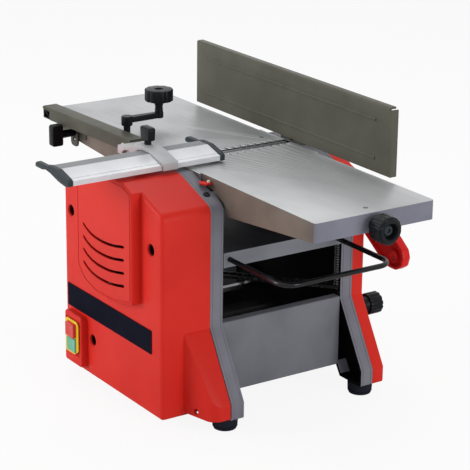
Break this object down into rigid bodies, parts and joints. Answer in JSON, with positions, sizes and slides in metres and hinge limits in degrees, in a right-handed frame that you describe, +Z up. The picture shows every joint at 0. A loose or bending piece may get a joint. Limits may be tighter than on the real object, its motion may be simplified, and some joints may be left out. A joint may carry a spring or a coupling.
{
  "type": "thickness planer",
  "caption": "Bench planer-thicknesser with long planing tables, tilting fence, sliding bridge guard, feed rollers and a thicknessing table raised by a crank.",
  "frame": {"origin": "middle of the machine's footprint box, at the soles of the feet, with the guard and the wire support pulled out as stored", "axes": "+X along the tables towards the infeed end, +Y across them towards the fence, +Z up"},
  "size_m": [0.7754, 0.508, 0.4767],
  "materials": {
    "grey_paint": "grey powder coat",
    "red_plastic": "satin moulded",
    "table_metal": "brushed along its length",
    "olive_paint": "dark olive grey paint",
    "steel": "turned",
    "black_plastic": "moulded, semi gloss",
    "black_paint": "gloss black",
    "rubber": "matt",
    "bright_aluminium": "anodised",
    "slate_plastic": "moulded",
    "yellow_plastic": "moulded",
    "green_plastic": "moulded",
    "copper_winding": "varnished winding"
  },
  "bodies": {
    "base": {"near_side_frame": "grey_paint", "far_side_frame": "grey_paint", "front_panel": "grey_paint", "rear_panel": "grey_paint", "near_front_foot": "rubber", "near_rear_foot": "rubber", "far_front_foot": "rubber", "far_rear_foot": "rubber", "near_cover": "red_plastic", "far_cover": "red_plastic", "outfeed_table": "table_metal", "near_cutter_bearing": "steel", "far_cutter_bearing": "steel", "motor_housing": "black_paint", "drive_belt": "rubber", "feed_chain": "steel", "pawl_rod": "steel", "lift_chain": "steel", "near_guide_post": "steel", "far_guide_post": "steel", "arm_bracket": "olive_paint", "arm_pivot_bolt": "steel", "fence_bracket": "olive_paint", "switch_plate": "yellow_plastic", "label_plate": "black_plastic"},
    "infeed_table": {"infeed_table": "table_metal", "scale_pointer": "red_plastic"},
    "infeed_knob": {"infeed_knob": "black_plastic", "infeed_screw": "steel"},
    "cutter": {"cutter_block": "steel", "upper_knife": "steel", "lower_knife": "steel", "cutter_pulley": "steel"},
    "motor_rotor": {"motor_rotor": "copper_winding", "motor_pulley": "steel"},
    "rear_feed_roller": {"rear_feed_roller": "steel", "rear_roller_sprocket": "steel"},
    "front_feed_roller": {"front_feed_roller": "rubber", "front_roller_sprocket": "steel"},
    "feed_gear": {"feed_gear": "steel"},
    "kickback_pawls": {"kickback_pawls": "steel"},
    "thicknessing_table": {"thicknessing_table": "table_metal"},
    "wire_support": {"wire_support": "black_paint"},
    "near_lead_screw": {"near_lead_screw": "steel"},
    "far_lead_screw": {"far_lead_screw": "steel"},
    "crank_handle": {"crank_handle": "black_plastic"},
    "crank_knob": {"crank_knob": "black_plastic"},
    "guard_arm": {"guard_arm": "olive_paint", "guard_clamp": "bright_aluminium"},
    "guard_wing_knob": {"guard_wing_knob": "black_plastic"},
    "arm_wing_knob": {"arm_wing_knob": "black_plastic"},
    "guard": {"guard_profile": "bright_aluminium", "guard_near_cap": "slate_plastic", "guard_far_cap": "slate_plastic"},
    "fence": {"fence_plate": "olive_paint"},
    "fence_lock_knob": {"fence_lock_knob": "black_plastic"},
    "stop_button": {"stop_button": "red_plastic"},
    "start_button": {"start_button": "green_plastic"},
    "feed_knob": {"feed_knob": "black_plastic"},
    "push_stick": {"push_stick": "red_plastic"}
  },
  "joints": [
    {"name": "motor_spin", "type": "hinge", "parent": "base", "child": "motor_rotor", "pos_m": [-0.01515, 0.06, 0.095], "axis": [0, 1, 0], "continuous": true},
    {"name": "cutter_spin", "type": "hinge", "parent": "base", "child": "cutter", "pos_m": [-0.01515, 0.06, 0.3452], "axis": [0, 1, 0], "continuous": true},
    {"name": "feed_gear_spin", "type": "hinge", "parent": "base", "child": "feed_gear", "pos_m": [-0.01515, 0.06, 0.2912], "axis": [0, 1, 0], "continuous": true},
    {"name": "rear_roller_spin", "type": "hinge", "parent": "base", "child": "rear_feed_roller", "pos_m": [-0.05515, 0.06, 0.3342], "axis": [0, 1, 0], "continuous": true},
    {"name": "front_roller_spin", "type": "hinge", "parent": "base", "child": "front_feed_roller", "pos_m": [0.02485, 0.06, 0.3342], "axis": [0, 1, 0], "continuous": true},
    {"name": "kickback_pawls_swing", "type": "hinge", "parent": "base", "child": "kickback_pawls", "pos_m": [-0.09315, 0.06, 0.338], "axis": [0, -1, 0], "range_deg": [0, 55]},
    {"name": "crank_turn", "type": "hinge", "parent": "base", "child": "crank_handle", "pos_m": [-0.16655, -0.037, 0.3], "axis": [0, 0, 1], "range_deg": [-5040, 5040]},
    {"name": "table_lift", "type": "slide", "parent": "base", "child": "thicknessing_table", "axis": [0, 0, 1], "range_m": [-0.056, 0.056]},
    {"name": "near_screw_turn", "type": "hinge", "parent": "base", "child": "near_lead_screw", "pos_m": [-0.14315, -0.0565, 0.15], "axis": [0, 0, 1], "range_deg": [-5040, 5040]},
    {"name": "far_screw_turn", "type": "hinge", "parent": "base", "child": "far_lead_screw", "pos_m": [0.11285, 0.1765, 0.15], "axis": [0, 0, 1], "range_deg": [-5040, 5040]},
    {"name": "crank_knob_spin", "type": "hinge", "parent": "crank_handle", "child": "crank_knob", "pos_m": [-0.16655, 0.022, 0.4], "axis": [0, 0, 1], "continuous": true},
    {"name": "infeed_height", "type": "slide", "parent": "base", "child": "infeed_table", "axis": [0, 0, -1], "range_m": [0, 0.002]},
    {"name": "infeed_knob_turn", "type": "hinge", "parent": "infeed_table", "child": "infeed_knob", "pos_m": [0.35485, 0.058, 0.3485], "axis": [1, 0, 0], "range_deg": [0, 720]},
    {"name": "wire_support_slide", "type": "slide", "parent": "thicknessing_table", "child": "wire_support", "axis": [-1, 0, 0], "range_m": [0, 0.105]},
    {"name": "guard_arm_swing", "type": "hinge", "parent": "base", "child": "guard_arm", "pos_m": [-0.35965, -0.061, 0.35], "axis": [0, -1, 0], "range_deg": [0, 15]},
    {"name": "guard_slide", "type": "slide", "parent": "guard_arm", "child": "guard", "axis": [0, -1, 0], "range_m": [-0.149, 0.0765]},
    {"name": "guard_wing_knob_turn", "type": "hinge", "parent": "guard_arm", "child": "guard_wing_knob", "pos_m": [-0.02715, -0.083, 0.3956], "axis": [0, 0, 1], "range_deg": [0, 360]},
    {"name": "arm_wing_knob_turn", "type": "hinge", "parent": "base", "child": "arm_wing_knob", "pos_m": [-0.31265, -0.0525, 0.342], "axis": [0, -1, 0], "range_deg": [0, 360]},
    {"name": "fence_tilt", "type": "hinge", "parent": "base", "child": "fence", "pos_m": [-0.01515, 0.176, 0.386], "axis": [-1, 0, 0], "range_deg": [0, 45]},
    {"name": "fence_lock_knob_turn", "type": "hinge", "parent": "base", "child": "fence_lock_knob", "pos_m": [-0.01515, 0.20382, 0.39724], "axis": [1, 0, 0], "range_deg": [0, 360]},
    {"name": "stop_button_press", "type": "slide", "parent": "base", "child": "stop_button", "axis": [0, 1, 0], "range_m": [0, 0.003], "stiffness_N_per_m": 200},
    {"name": "start_button_press", "type": "slide", "parent": "base", "child": "start_button", "axis": [0, 1, 0], "range_m": [0, 0.003], "stiffness_N_per_m": 200},
    {"name": "feed_knob_turn", "type": "hinge", "parent": "base", "child": "feed_knob", "pos_m": [0.11485, 0.213, 0.121], "axis": [0, 1, 0], "range_deg": [0, 90]},
    {"name": "push_stick_lift_off", "type": "slide", "parent": "base", "child": "push_stick", "axis": [0, 1, 0], "range_m": [0, 0.12]}
  ],
  "couplings": [
    {"joint": "cutter_spin", "follows": "motor_spin", "ratio": 1.5},
    {"joint": "feed_gear_spin", "follows": "motor_spin", "ratio": -0.3},
    {"joint": "rear_roller_spin", "follows": "motor_spin", "ratio": -0.12},
    {"joint": "front_roller_spin", "follows": "motor_spin", "ratio": -0.12},
    {"joint": "crank_turn", "follows": "table_lift", "rad_per_m": 1570.8},
    {"joint": "near_screw_turn", "follows": "table_lift", "rad_per_m": -1570.8},
    {"joint": "far_screw_turn", "follows": "table_lift", "rad_per_m": -1570.8},
    {"joint": "infeed_knob_turn", "follows": "infeed_height", "rad_per_m": 6283.2}
  ]
}
